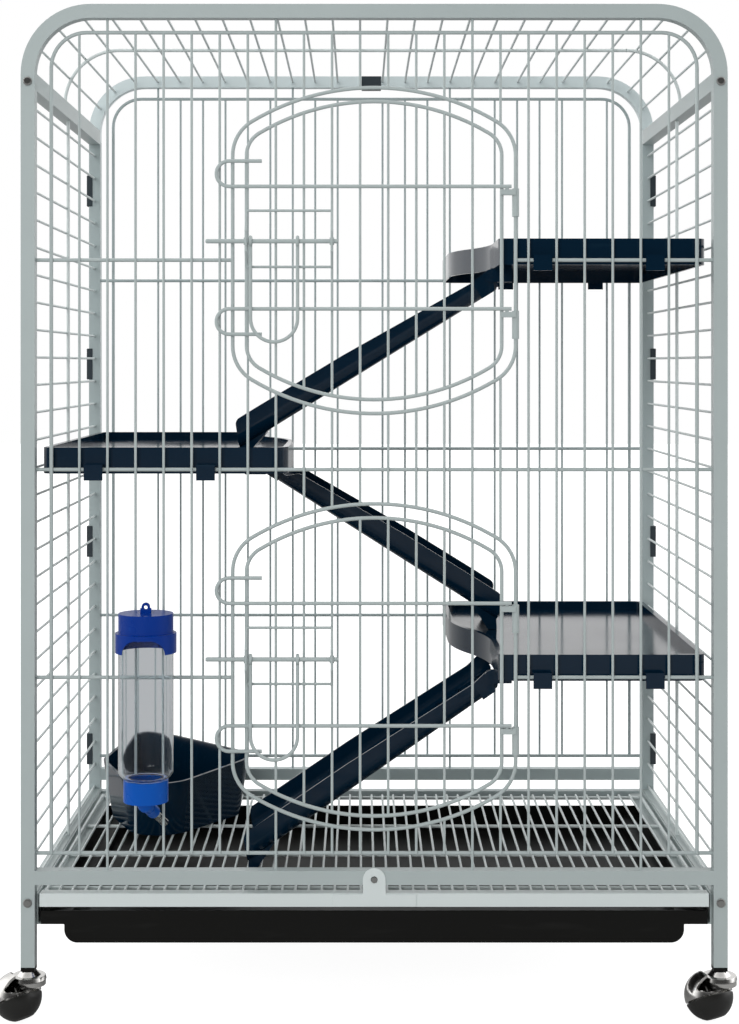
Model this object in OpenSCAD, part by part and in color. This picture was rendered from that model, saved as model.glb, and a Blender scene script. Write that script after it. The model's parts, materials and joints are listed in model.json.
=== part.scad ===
// Ferret cage on casters: tube frame, welded wire panels, two latched doors, three platforms
// with ramps, a litter pan, a pull-out floor grid and tray, and a water bottle.
// Millimetres. The front faces -Y, the floor is Z = 0 and the bounding box is centred on Z.

/* [Frame] */
// Width over the posts
cage_w = 640; // [590:5:800]
// Depth over the posts
cage_d = 440; // [400:5:560]
// Height of the arch tops above the floor
cage_h = 920; // [900:5:1120]
// Side of the square frame tube
tube = 12.7; // [12:0.1:15]
// Wall of the frame tube
tube_wall = 1; // [0.8:0.1:1.4]
// Bend radius of the arch corners, on the tube's centreline
arch_r = 57; // [45:1:62]
// Drop from the arch tops to the joints with the posts
joint_drop = 74.5; // [72:0.5:90]
// Height of the post bottoms above the floor
leg_bottom = 47.6; // [47.6:0.1:60]
// Height of the side top rails' section
top_rail_h = 16; // [12:0.5:20]
// Underside of the front and back upper base rails
base_rail_z = 122.4; // [122:0.1:130]
// Height of the lower back rail's section
low_back_rail_h = 10; // [8:0.5:12]
// Diameter of the frame bolts' heads
bolt_head_d = 8; // [6:0.5:9]

/* [Wire panels] */
// Diameter of the thin panel wires
thin_d = 2.4; // [2:0.1:3]
// Diameter of the thick border, cross and ring wires
thick_d = 3.4; // [3:0.1:4]
// Pitch of the panel wires
pitch = 25.5; // [22:0.1:28]
// Smallest gap from a post to the border wire's centre
border_gap = 12; // [8:0.5:20]
// Drop from the arch tops to the panels' top border wire
border_drop = 25; // [22:0.5:30]
// Corner radius of the panels' top border
border_r = 32; // [20:1:45]
// Height of the upper cross wire, which carries the top platform
cross_top = 688.5; // [670:0.5:700]
// Height of the middle cross wire, which carries the middle platform
cross_mid = 498; // [490:0.5:510]
// Height of the low cross wire, which carries the low platform
cross_low = 309; // [290:0.5:320]
// Height of the panels' bottom wire
panel_bottom = 149.3; // [145:0.1:155]

/* [Doors] */
// Half width of a doorway ring, on the wire's centreline
door_a = 128.5; // [120:0.5:132]
// Half height of a doorway ring
door_h = 148; // [140:0.5:150]
// Height of the ring's bowed top above its straight sides
door_rise = 61.5; // [55:0.5:70]
// Corner radius of the ring
door_corner = 36; // [30:0.5:45]
// Height of the upper doorway's centre
door_top_z = 697; // [690:0.5:705]
// Height of the lower doorway's centre
door_low_z = 319; // [312:0.5:325]
// Gap between the doorway ring and the door's own ring, centreline to centreline
door_gap = 12.7; // [9:0.1:15]
// Height of the door's upper cross wire above the doorway's centre
door_cross_up = 58; // [50:0.5:70]
// Depth of the door's lower cross wire below the doorway's centre
door_cross_down = 53; // [48:0.5:60]
// Straight reach of the C-hooks past the doorway ring
hook_reach = 3; // [2:0.5:8]
// Distance between a C-hook's two legs
hook_h = 23; // [18:0.5:26]
// Outer diameter of the hinge sleeves
sleeve_d = 6.4; // [6:0.1:8]
// Length of a hinge sleeve
sleeve_l = 25.5; // [15:0.5:30]

/* [Latches] */
// Diameter of the sliding rod
rod_d = 4; // [3.5:0.1:5]
// Height of the rod above the doorway's centre
rod_up = 8; // [6:0.5:12]
// Distance from the panel plane forward to the rod's axis
rod_out = 8.5; // [8.3:0.1:10]
// Length of the rod
rod_l = 120; // [110:1:130]
// Reach of the rod beyond the doorway ring
rod_past = 24; // [15:0.5:24]
// Distance between the handle's legs
handle_w = 42.5; // [36:0.5:46]
// Drop of the handle below the rod
handle_drop = 91; // [80:1:98]
// Diameter of the handle wire
handle_d = 3.2; // [2.8:0.1:3.4]
// Rise of the guide loop above the rod
guide_up = 28; // [24:0.5:32]
// Drop of the guide loop below the rod
guide_down = 23; // [20:0.5:28]

/* [Platforms and ramps] */
// Length of a platform along its notched side
deck_short = 189; // [170:1:200]
// Length of a platform along its long side
deck_long = 224; // [205:1:235]
// Start of the S-shaped end, from the notched side's edge
deck_s0 = 76; // [60:1:90]
// End of the S-shaped end
deck_s1 = 246; // [220:1:270]
// Height of a platform's skirt
deck_h = 24; // [20:0.5:28]
// Rise of the platform's rim above the wire it hangs on
deck_rise = 20; // [17:0.5:22]
// Depth of the recessed floor
deck_recess = 8.5; // [6:0.5:10]
// Width of the rim
deck_rim = 5; // [4:0.5:8]
// Wall of the moulded parts
deck_wall = 2.6; // [2:0.1:3]
// Gap from the back upright wires to the platform's back edge
deck_back_gap = 34; // [20:1:50]
// Gap from the side mesh plane to the platform's outer edge
deck_side_gap = 11; // [8:0.5:16]
// Width of the hanging clips
clip_w = 17; // [12:0.5:20]
// Width of a ramp over its side walls
ramp_w = 110; // [90:1:115]
// Distance from the platform's notched edge to the ramp
ramp_in = 66; // [40:1:80]
// Height of the ramp's side wall at the top end
ramp_wall_top = 17.7; // [14:0.1:20]
// Height of the ramp's side wall at the foot
ramp_wall_foot = 24.6; // [22:0.1:28]
// Distance from the middle platform's notched edge to the top ramp's foot
top_foot_in = 13.6; // [10:0.1:60]
// Distance from the low platform's notched edge to the middle ramp's foot
mid_foot_in = 14.4; // [5:0.1:60]
// X of the low ramp's foot on the floor grid
low_foot_x = -119.5; // [-130:0.5:-60]
// Pitch of the ramp treads
tread_pitch = 24; // [18:1:30]

/* [Base] */
// Underside of the tray's ledges
tray_ledge_z = 84; // [82:0.1:86]
// Height of the tray's rim
tray_top = 98; // [96:0.1:99]
// Bottom of the tray
tray_bottom = 68.8; // [62:0.1:74]
// Width of the tray's side shoulders
tray_shoulder = 21.5; // [18:0.5:30]
// Bottom corner radius of the tray
tray_r = 12; // [8:0.5:15]
// Wall of the tray
tray_wall = 2.2; // [1.6:0.1:3]
// Underside of the floor grid's front bar
bar_z = 102.7; // [102:0.1:104]
// Height of the front bar
bar_h = 12.2; // [11:0.1:13]
// Pitch of the grid's upright-to-front wires
grid_pitch = 12; // [11:0.1:16]
// Width of the grid's lock tab
tab_w = 20.7; // [18:0.1:26]
// Diameter of the lock stud
stud_d = 5.2; // [4:0.1:6]

/* [Litter pan] */
// Distance from the left posts' centre plane to the pan's middle
pan_x = 104; // [96:1:120]
// Distance from the back posts' centre plane to the pan's middle
pan_y = 118; // [108:1:130]
// Height of the pan's back
pan_back_h = 66; // [56:1:80]
// Height of the pan's front rim
pan_front_h = 55; // [40:1:60]
// Outward lean of the pan's walls over their height
pan_flare = 9; // [4:0.5:14]
// Wall of the pan
pan_wall = 2.5; // [2:0.1:3]

/* [Water bottle] */
// Outer diameter of the bottle
bottle_d = 49.4; // [44:0.2:52]
// Height of the bottle's shoulder above the floor
bottle_z0 = 224; // [215:1:235]
// Height of the bottle's upper end
bottle_z1 = 352.5; // [335:0.5:360]
// Diameter of the screw cap
cap_d = 40; // [36:0.5:44]
// Height of the screw cap
cap_h = 20; // [16:0.5:24]
// Height of the bracket's closed head
bracket_head_h = 18.8; // [14:0.1:22]
// Depth of the bracket's skirt
bracket_skirt_h = 16; // [14:0.5:18]

/* [Casters] */
// Diameter of the ball wheel
ball_d = 44; // [40:0.5:48]
// Offset of the ball behind the swivel
ball_trail = 11; // [8:0.5:14]
// Offset of the ball beside the swivel, away from its wheel
ball_side = 2; // [0:0.5:4]
// Downward tilt of the ball's axle in degrees
axle_tilt = 60; // [52:1:65]
// Diameter of the swivel plates
cup_d = 32; // [28:0.5:33]

/* [Hidden] */

// Facets of the preview curves
fine = 48;
// Clearance of running fits on the radius
run_gap = 0.05;
// Bolt bores have more room
bolt_bore_r = 2.2;
// Clearance between parts that only pass each other
pass_gap = 0.4;
// Overlap that welds two crossing wires
weld = 0.5;

powder = "#b4bebd";
back_powder = "#8fa3a4";
navy = "#0c2438";
black = "#151515";

half_tube = tube / 2;
post_x = cage_w / 2 - half_tube;
post_y = cage_d / 2 - half_tube;
inner_x = post_x - half_tube;
inner_y = post_y - half_tube;
joint_z = cage_h - joint_drop;
arch_z = cage_h - half_tube;
// Straight leg of an arch above the joint, the bolt in it and the centre of the side top rails
arch_leg = arch_z - arch_r - joint_z;
bolt_z = joint_z + 0.4 * arch_leg;
top_rail_z = joint_z + 5;
bore_side = tube - 2 * tube_wall;

thin_r = thin_d / 2;
thick_r = thick_d / 2;
wires_half = floor((inner_x - border_gap) / pitch + 0.5);
border_x = (wires_half - 0.5) * pitch;
border_top = cage_h - border_drop;
// Offset between the planes of wires that cross and are welded
cross_off = thin_r + thick_r - weld;
wire_count = 2 * wires_half;
function wire_x(k) = (k + 0.5) * pitch - wires_half * pitch;
// The wires third from the border and fourth from the middle run on to the frame
function is_long(k) = min(k, wire_count - 1 - k) == 2 || abs(k + 0.5 - wires_half) == 3.5;

// Doorway rings: a big arc on top, tangent to small corner arcs and straight sides
door_side = door_h - door_rise;
door_big = (pow(door_a - door_corner, 2) + pow(door_rise, 2) - pow(door_corner, 2))
  / (2 * (door_rise - door_corner));
door_turn = asin((door_a - door_corner) / (door_big - door_corner));
// Half height of a ring, drawn in by g, at the distance x from its middle
function ring_half(x, g = 0) = abs(x) < (door_big - g) * sin(door_turn)
  ? door_h - door_big + sqrt(pow(door_big - g, 2) - x * x)
  : door_side + sqrt(max(0, pow(door_corner - g, 2) - pow(abs(x) - door_a + door_corner, 2)));

panel_y = -post_y;
back_y = post_y;
// Planes of the door's wires in front of the panel plane
door_cross_y = panel_y - 2 * thick_r - pass_gap;
door_ring_y = door_cross_y + 2 * thick_r - weld;
door_wire_y = door_cross_y + cross_off;
rod_y = panel_y - rod_out;
rod_r = rod_d / 2;
hinge_x = door_a;
rod_x0 = -door_a - rod_past;
handle_r = handle_d / 2;
eye_r = rod_r + run_gap;
door_left = -(door_a - door_gap);
handle_x0 = door_left + 4;
guide_x1 = wire_x(wires_half - 2);

deck_y0 = panel_y + 6.5;
deck_depth = (back_y - deck_back_gap) - deck_y0;
deck_outer = post_x - deck_side_gap;
deck_outer_r = 10;
deck_long_r = 18;
deck_notch_r = 6;
s_dx = (deck_long - deck_short) / 2;
s_dy = (deck_s1 - deck_s0) / 2;
s_r = (s_dx * s_dx + s_dy * s_dy) / (2 * s_dx);
deck_x_end = deck_outer - deck_short;

ear_r = 6;
ear_t = 3;
pin_r = 2.4;
pivot_drop = 7;
pivot_out = 3;
// Distances of the ramps' undersides below their pivots, square to the ramp: top, middle and low
ramp_unders = [14.2, 3.6, 14.3];
// Heights of the ramps' heels above the floors that they stand on
ramp_heels = [4.7, 10.9, 7.2];
// Radius of a ramp's lower edges, height of its side wall halfway and radius of the foot's corner
ramp_round = 13;
ramp_wall_mid = 23.5;
// Height above the pivot that the side walls keep to beside it, below the platform's underside
ramp_tuck = pivot_drop - 1;
foot_round = 7;
pivot_x = deck_x_end - pivot_out;
foot_gap = 0.4;
function pivot_z(wire_z) = wire_z + deck_rise - deck_h - pivot_drop;
function deck_floor(wire_z) = wire_z + deck_rise - deck_recess;
ramp_y0 = deck_y0 + ramp_in;
back_ramp_y0 = deck_y0 + deck_depth - ramp_in - ramp_w;

runner_t = 1.5;
tray_half = inner_x - 2 * runner_t - 1.5;
ledge_t = 1.3;
ledge_w = 14;
tray_shoulder_z = tray_ledge_z + ledge_t + 0.3;
tray_y0 = panel_y - 2;
tray_y1 = back_y - 24;
grid_ledge_z = 106.7;
grid_rest = grid_ledge_z + ledge_t;
grid_cross_z = grid_rest + thick_r + 0.3;
grid_wire_z = grid_cross_z + cross_off;
grid_half = inner_x - 2 * runner_t - 4.4;
grid_y1 = back_y - 37;
bar_y0 = panel_y - half_tube - pass_gap;
grid_count = floor(2 * (grid_half - 5) / grid_pitch);
grid_top = grid_wire_z + thin_r;
tab_z = base_rail_z + 5.2;
low_rail_z = 106.3;

bottle_x = -border_x + 3.5 * pitch;
bottle_r = bottle_d / 2;
skirt_r = bottle_r + 2.6;
bottle_y = panel_y - thin_r - 1 - skirt_r;
neck_r = 16;
cap_r = cap_d / 2;
// The sipper leaves the cap down and inwards, between two upright wires
sip_dir = [11, 48, -27];
sip_len = norm(sip_dir);
sip_turn = [0, acos(sip_dir[2] / sip_len), atan2(sip_dir[1], sip_dir[0])];
elbow_l = 24;
sip_tube_r = 3.8;
sip_bore_r = 3.2;
cap_z0 = bottle_z0 - cap_h;
// The clamp stud's radius and height above the bottle's end
clamp_r = 2.5;
stud_up = 8.5;

ball_r = ball_d / 2;
caster_turns = [45, 30, 190, 215];
// The wheel starts a little past the ball's middle; the plates clear its highest point
wheel_from = 2.6;
rim_top = ball_r - wheel_from * sin(axle_tilt) + sqrt(pow(ball_r, 2) - pow(wheel_from, 2)) * cos(axle_tilt);
plate_z = rim_top + 0.5;
cup_z = plate_z + 4.3;
cup_r = cup_d / 2;
swivel_r = 3;
axle_r = 3;

// The bounding box runs from the bottle's bracket to the back casters
ball_reach = norm([ball_trail, ball_side]);
ball_angle = 180 - atan2(ball_side, ball_trail);
box_front = bottle_y - skirt_r;
box_back = post_y + ball_reach * sin(ball_angle + caster_turns[3]) + ball_r;
y_shift = -(box_front + box_back) / 2;

// ---- shared shapes ----

module put() { translate([0, y_shift, 0]) children(); }

module both_sides() { children(); mirror([1, 0, 0]) children(); }

// Straight round wire from p to q
module wire(p, q, r) {
  v = q - p;
  l = norm(v);
  translate(p) rotate([0, acos(v[2] / l), atan2(v[1], v[0])]) cylinder(h = l, r = r, $fn = 24);
}

// Ball a little wider than the wires, where two of them meet at an angle
module knot(p, r) { translate(p) sphere(r = r + 0.08, $fn = 24); }

// Round wire bent to an arc in the XZ plane round c, from angle a0 to a1
module wire_arc(c, bend, a0, a1, r) {
  translate(c) rotate([90, 0, 0]) rotate([0, 0, a0])
    rotate_extrude(angle = a1 - a0, $fn = 240) translate([bend, 0]) circle(r = r, $fn = 24);
}

// Hollow square tube section
module tube_section(w = tube, h = tube) {
  difference() {
    square([w, h], center = true);
    square([w - 2 * tube_wall, h - 2 * tube_wall], center = true);
  }
}

// Hollow tube along X, Y or Z, centred at c
module tube_x(c, l, h = tube) {
  translate(c) rotate([90, 0, 90]) translate([0, 0, -l / 2]) linear_extrude(l) tube_section(tube, h);
}
module tube_y(c, l, w = tube, h = tube) {
  translate(c) rotate([90, 0, 0]) translate([0, 0, -l / 2]) linear_extrude(l) tube_section(w, h);
}

// ---- frame ----

// Bore for a frame bolt, along Y through a tube at X and Z
module bolt_bore(x, z) {
  translate([x, 0, z]) rotate([90, 0, 0]) cylinder(h = tube + 2, r = bolt_bore_r, center = true, $fn = fine);
}

module posts(y) {
  for (s = [-1, 1]) translate([0, y, 0]) difference() {
    translate([s * post_x, 0, leg_bottom]) linear_extrude(joint_z - leg_bottom) tube_section();
    bolt_bore(s * post_x, low_rail_z);
  }
}

module front_posts() { put() color(powder) posts(-post_y); }
module back_posts() { put() color(back_powder) posts(post_y); }

// Bent bow from one joint over the top to the other
module arch(y) {
  corner = post_x - arch_r;
  translate([0, y, 0]) {
    tube_x([0, 0, arch_z], 2 * corner);
    both_sides() {
      difference() {
        translate([post_x, 0, joint_z]) linear_extrude(arch_leg) tube_section();
        bolt_bore(post_x, bolt_z);
      }
      translate([corner, 0, arch_z - arch_r]) rotate([90, 0, 0])
        rotate_extrude(angle = 90, $fn = 96) translate([arch_r, 0]) tube_section();
    }
  }
}

module front_arch() { put() color(powder) arch(-post_y); }
module back_arch() { put() color(back_powder) arch(post_y); }

// Spigots inside the tubes, across each joint
module tube_joiners() {
  side = bore_side - 0.2;
  below = 24;
  put() color("dimgray") for (s = [-1, 1], t = [-1, 1]) translate([0, t * post_y, 0]) difference() {
    translate([s * post_x - side / 2, -side / 2, joint_z - below]) cube([side, side, below + arch_leg - 1]);
    bolt_bore(s * post_x, bolt_z);
  }
}

module side_top_rails() {
  put() color(powder) for (s = [-1, 1])
    tube_y([s * post_x, 0, top_rail_z], 2 * inner_y, tube, top_rail_h);
}

module side_low_rails() {
  put() color(powder) for (s = [-1, 1]) tube_y([s * post_x, 0, low_rail_z], 2 * inner_y);
}

// Folded ledges on the inside of the legs: the outer pair carries the tray
module tray_runners() {
  y0 = tray_y0 + 6;
  l = inner_y - pass_gap - y0;
  put() color(powder) both_sides() translate([inner_x - runner_t, y0, tray_ledge_z]) {
    cube([runner_t, l, 28]);
    translate([-ledge_w, 0, 0]) cube([ledge_w + weld, l, ledge_t]);
  }
}

// The inner pair carries the floor grid
module grid_runners() {
  y0 = bar_y0 + tube + 1;
  l = inner_y - pass_gap - y0;
  put() color(powder) both_sides() translate([inner_x - 2 * runner_t, y0, tray_top + 1]) {
    cube([runner_t, l, grid_rest - tray_top - 1]);
    translate([-ledge_w + 2, 0, grid_ledge_z - tray_top - 1]) cube([ledge_w - 2 + weld, l, ledge_t]);
  }
}

module front_rail() {
  put() color(powder) difference() {
    tube_x([0, -post_y, base_rail_z + half_tube], 2 * inner_x);
    translate([0, -post_y, tab_z]) rotate([90, 0, 0])
      cylinder(h = tube, r = stud_d / 2 + run_gap, $fn = fine);
  }
}

module back_rails() {
  put() color(back_powder) {
    tube_x([0, post_y, base_rail_z + half_tube], 2 * inner_x);
    tube_x([0, post_y, tray_top + 7], 2 * inner_x, low_back_rail_h);
  }
}

// Domed bolts through the legs, with their shanks
module bolt() {
  rotate([90, 0, 0]) {
    translate([0, 0, -half_tube + tube_wall + 0.4]) cylinder(h = tube - 1.4, r = 2, $fn = fine);
    translate([0, 0, half_tube]) cylinder(h = 1.6, r = bolt_head_d / 2, $fn = fine);
    translate([0, 0, half_tube + 1.6]) cylinder(h = 0.8, r1 = bolt_head_d / 2, r2 = 2.4, $fn = fine);
  }
}

module frame_bolts() {
  put() color("gray") for (s = [-1, 1], z = [bolt_z, low_rail_z]) {
    translate([s * post_x, -post_y, z]) bolt();
    translate([s * post_x, post_y, z]) rotate([0, 0, 180]) bolt();
  }
}

module grid_lock_stud() {
  inside = 2;
  outside = 3.2;
  put() color("silver") translate([0, panel_y - half_tube + tube_wall + inside, tab_z]) rotate([90, 0, 0])
    cylinder(h = inside + tube_wall + outside, r = stud_d / 2, $fn = fine);
}

// Plugs in the leg ends, bored for the caster stems
module leg_plugs() {
  side = bore_side - 0.2;
  put() color(black) for (s = [-1, 1], t = [-1, 1]) translate([s * post_x, t * post_y, 0]) difference() {
    union() {
      translate([-half_tube, -half_tube, leg_bottom - 3.6]) cube([tube, tube, 3.6]);
      translate([-side / 2, -side / 2, leg_bottom - weld]) cube([side, side, 22]);
    }
    translate([0, 0, leg_bottom - 4]) cylinder(h = 20, r = 4 + run_gap, $fn = fine);
  }
}

// ---- wire panels ----

// Wires from front to back over the roof and round its corners, with one bowed wire under them
module canopy_mesh() {
  corner = post_x - arch_r;
  flat_n = floor(corner / pitch);
  turn = pitch / arch_r * 180 / PI;
  bow_r = arch_r - cross_off;
  bow_y = -20;
  // The bow's ends stand just clear of the side rails' tops, at a whole degree
  bow_start = ceil(0.5 + asin(max(0, top_rail_z + top_rail_h / 2 - arch_z + arch_r) / bow_r));
  put() color(powder) union() {
    for (k = [-flat_n : flat_n - 1]) {
      x = (k + 0.5) * pitch;
      wire([x, -inner_y, arch_z], [x, inner_y, arch_z], thin_r);
    }
    both_sides() {
      for (a = [11 : turn : 80])
        let (x = corner + arch_r * sin(a), z = arch_z - arch_r + arch_r * cos(a))
          wire([x, -inner_y, z], [x, inner_y, z], thin_r);
      wire_arc([corner, bow_y, arch_z - arch_r], bow_r, bow_start, 90, thick_r);
      knot([corner, bow_y, arch_z - cross_off], thick_r);
    }
    wire([-corner, bow_y, arch_z - cross_off], [corner, bow_y, arch_z - cross_off], thick_r);
  }
}

// Wires from post to post, tied by one upright in the middle
module side_mesh() {
  top = top_rail_z - top_rail_h / 2;
  bottom = low_rail_z + half_tube;
  rows = floor((top - bottom - 10) / pitch);
  union() {
    for (k = [0 : rows])
      let (z = top - pitch * (k + 0.5)) wire([post_x, -inner_y, z], [post_x, inner_y, z], thin_r);
    wire([post_x - cross_off, 0, bottom], [post_x - cross_off, 0, top], thick_r);
  }
}

module left_side_mesh() { put() color(powder) mirror([1, 0, 0]) side_mesh(); }
module right_side_mesh() { put() color(powder) side_mesh(); }

// Border loop with rounded top corners, in the plane y
module border_loop(y) {
  for (s = [-1, 1]) {
    wire([s * border_x, y, panel_bottom], [s * border_x, y, border_top - border_r], thick_r);
    mirror([s < 0 ? 1 : 0, 0, 0])
      wire_arc([border_x - border_r, y, border_top - border_r], border_r, 0, 90, thick_r);
  }
  wire([-border_x + border_r, y, border_top], [border_x - border_r, y, border_top], thick_r);
}

// Cross wire in the plane behind the uprights, from x0 to x1
module cross(z, x0 = -inner_x, x1 = inner_x, y = panel_y + cross_off) {
  wire([x0, y, z], [x1, y, z], thick_r);
}

function up_end(k) = is_long(k) ? arch_z - half_tube : border_top;
function low_end(k) = is_long(k) ? base_rail_z + tube : panel_bottom;

module back_mesh() {
  put() color(back_powder) union() {
    border_loop(back_y);
    for (k = [1 : wire_count - 2])
      wire([wire_x(k), back_y, low_end(k)], [wire_x(k), back_y, up_end(k)], thin_r);
    for (z = [cross_top, cross_mid, cross_low, panel_bottom]) cross(z, y = back_y - cross_off);
  }
}

module front_border() {
  put() color(powder) union() {
    border_loop(panel_y);
    cross(panel_bottom);
  }
}

// Uprights and cross wires beside the doorways
module front_side_wires() {
  union() {
    for (k = [wires_half : wire_count - 2]) if (wire_x(k) > door_a + thick_r)
      wire([wire_x(k), panel_y, low_end(k)], [wire_x(k), panel_y, up_end(k)], thin_r);
    for (z = [cross_top, cross_mid, cross_low]) cross(z, door_a, inner_x);
  }
}

module front_mesh_right() { put() color(powder) front_side_wires(); }
module front_mesh_left() { put() color(powder) mirror([1, 0, 0]) front_side_wires(); }

// Uprights above, between and below the doorways
module front_mesh_middle() {
  put() color(powder) union() {
    for (k = [0 : wire_count - 1]) let (x = wire_x(k)) if (abs(x) < door_a - thick_r) {
      wire([x, panel_y, door_top_z + ring_half(x)], [x, panel_y, up_end(k)], thin_r);
      wire([x, panel_y, door_low_z + ring_half(x)], [x, panel_y, door_top_z - ring_half(x)], thin_r);
      wire([x, panel_y, low_end(k)], [x, panel_y, door_low_z - ring_half(x)], thin_r);
    }
    cross(cross_mid, -door_a, door_a);
  }
}

// Closed ring round a doorway, drawn in by g
module ring(y, z, g = 0) {
  for (s = [0, 1]) mirror([s, 0, 0]) {
    wire([door_a - g, y, z - door_side], [door_a - g, y, z + door_side], thick_r);
    for (t = [0, 1]) translate([0, 0, z]) mirror([0, 0, t])
      wire_arc([door_a - door_corner, y, door_side], door_corner - g, 0, 90 - door_turn, thick_r);
  }
  for (t = [0, 1]) translate([0, 0, z]) mirror([0, 0, t]) {
    wire_arc([0, y, door_h - door_big], door_big - g, 90 - door_turn, 90 + door_turn, thick_r);
    for (s = [-1, 1]) knot([s * (door_big - g) * sin(door_turn), y,
      door_h - door_big + (door_big - g) * cos(door_turn)], thick_r);
  }
}

module upper_door_ring() { put() color(powder) union() ring(panel_y, door_top_z); }
module lower_door_ring() { put() color(powder) union() ring(panel_y, door_low_z); }

// Folded clips round the back legs' outer front corners, and one in front of and under the back bow
module panel_clips() {
  long = 35;
  out_t = 2.4;
  front_t = 1.6;
  cover = 4;
  bow_w = 22;
  put() color("dimgray") {
    for (s = [0, 1], z = [cross_top + 101.5, cross_mid + 96, cross_low + 84, panel_bottom + 8.7])
      mirror([s, 0, 0]) translate([post_x + half_tube, inner_y - front_t, z - long / 2]) {
        cube([out_t, 12, long]);
        translate([-cover, 0, 0]) cube([cover + out_t, front_t, long]);
      }
    translate([-bow_w / 2, inner_y - front_t, arch_z - half_tube - 3]) cube([bow_w, front_t, tube + 3]);
    translate([-bow_w / 2, inner_y - front_t, arch_z - half_tube - 3]) cube([bow_w, 9, 3]);
  }
}

// ---- doors and latches ----

// C-hook: from a cross wire round the doorway ring and back
module c_hook(z, up) {
  x = -door_a - hook_reach;
  bend = hook_h / 2;
  translate([0, 0, z + (up ? bend : -bend)]) wire_arc([x, door_cross_y, 0], bend, 90, 270, thick_r);
  back_z = z + (up ? hook_h : -hook_h);
  wire([x, door_cross_y, back_z], [door_left + 14, door_cross_y, back_z], thick_r);
}

// Sleeve that turns on the doorway ring's straight side, with its cross wire's end
module hinge_sleeve(z) {
  difference() {
    union() {
      translate([hinge_x, panel_y, z - sleeve_l - thick_r])
        cylinder(h = sleeve_l, r = sleeve_d / 2, $fn = fine);
      translate([hinge_x, panel_y, z - thick_r]) rotate([0, 0, 180])
        translate([0, -0.8, -6]) cube([14, 5.6, 5]);
    }
    translate([hinge_x, panel_y, z - sleeve_l - 20])
      cylinder(h = sleeve_l + 40, r = thick_r + run_gap, $fn = fine);
  }
}

// Bowed upright of the guide loop, in front of the rod
module guide_bow(x, z) {
  out_y = rod_y - rod_r - 0.5 - thin_r;
  for (s = [-1, 1]) {
    far = s < 0 ? guide_down : guide_up;
    wire([x, door_cross_y, z + s * far], [x, out_y, z + s * 9], thin_r);
    knot([x, out_y, z + s * 9], thin_r);
  }
  wire([x, out_y, z - 9], [x, out_y, z + 9], thin_r);
}

// Eye that guides the rod, on a short foot
module rod_eye(x, z) {
  difference() {
    union() {
      translate([x, rod_y, z]) rotate([0, 90, 0])
        cylinder(h = 4, r = rod_r + 1.4, center = true, $fn = fine);
      translate([x - 1.5, rod_y + rod_r + 0.6, z - 1.8]) cube([3, door_ring_y - rod_y - rod_r - 0.6, 3.6]);
    }
    translate([x, rod_y, z]) rotate([0, 90, 0]) cylinder(h = 8, r = eye_r, center = true, $fn = fine);
  }
}

module door(zc) {
  z_up = zc + door_cross_up;
  z_down = zc - door_cross_down;
  rod_z = zc + rod_up;
  bend_x = -door_a - hook_reach;
  eye_x0 = door_left;
  put() color(powder) union() {
    ring(door_ring_y, zc, door_gap);
    for (k = [0 : wire_count - 1]) let (x = wire_x(k)) if (abs(x) < door_a - door_gap - thick_r)
      let (h = ring_half(x, door_gap))
        wire([x, door_wire_y, zc - h], [x, door_wire_y, zc + h], thin_r);
    for (z = [z_up, z_down]) {
      wire([bend_x, door_cross_y, z], [hinge_x - 4, door_cross_y, z], thick_r);
      hinge_sleeve(z);
      wire([hinge_x - 8, door_cross_y, z], [hinge_x - 8, door_cross_y + 2.4, z - thick_r - 4], thick_r);
    }
    c_hook(z_up, true);
    c_hook(z_down, false);
    for (z = [rod_z + guide_up, rod_z - guide_down])
      wire([eye_x0, door_cross_y, z], [guide_x1, door_cross_y, z], thin_r);
    for (x = [eye_x0, guide_x1]) guide_bow(x, rod_z);
    for (x = [eye_x0, guide_x1]) rod_eye(x, rod_z);
  }
}

module upper_door() { door(door_top_z); }
module lower_door() { door(door_low_z); }

module latch_rod(zc) {
  put() color(powder) translate([rod_x0, rod_y, zc + rod_up]) rotate([0, 90, 0]) {
    translate([0, 0, 1]) cylinder(h = rod_l - 2, r = rod_r, $fn = fine);
    for (p = [[0, 1.2, 2], [rod_l - 1, 2, 1.2]])
      translate([0, 0, p[0]]) cylinder(h = 1, r1 = p[1], r2 = p[2], $fn = fine);
  }
}

module upper_latch_rod() { latch_rod(door_top_z); }
module lower_latch_rod() { latch_rod(door_low_z); }

// U handle: two eyes round the rod, two legs and a bow at the bottom
module latch_handle(zc) {
  z = zc + rod_up;
  bend = handle_w / 2;
  eye_bend = eye_r + handle_r;
  xm = handle_x0 + bend;
  put() color(powder) union() {
    for (s = [-1, 1]) translate([xm + s * bend, rod_y, z]) {
      rotate([0, 90, 0]) rotate_extrude($fn = fine) translate([eye_bend, 0]) circle(r = handle_r, $fn = 24);
      wire([0, 0, -handle_drop + bend], [0, 0, -eye_bend], handle_r);
    }
    wire_arc([xm, rod_y, z - handle_drop + bend], bend, 180, 360, handle_r);
  }
}

module upper_latch_handle() { latch_handle(door_top_z); }
module lower_latch_handle() { latch_handle(door_low_z); }

// ---- platforms and ramps ----

module corner_cut(p, sx, sy, r) {
  translate(p) scale([sx, sy]) difference() {
    translate([-1, -1]) square(r + 1);
    translate([r, r]) circle(r = r, $fn = 96);
  }
}

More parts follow.
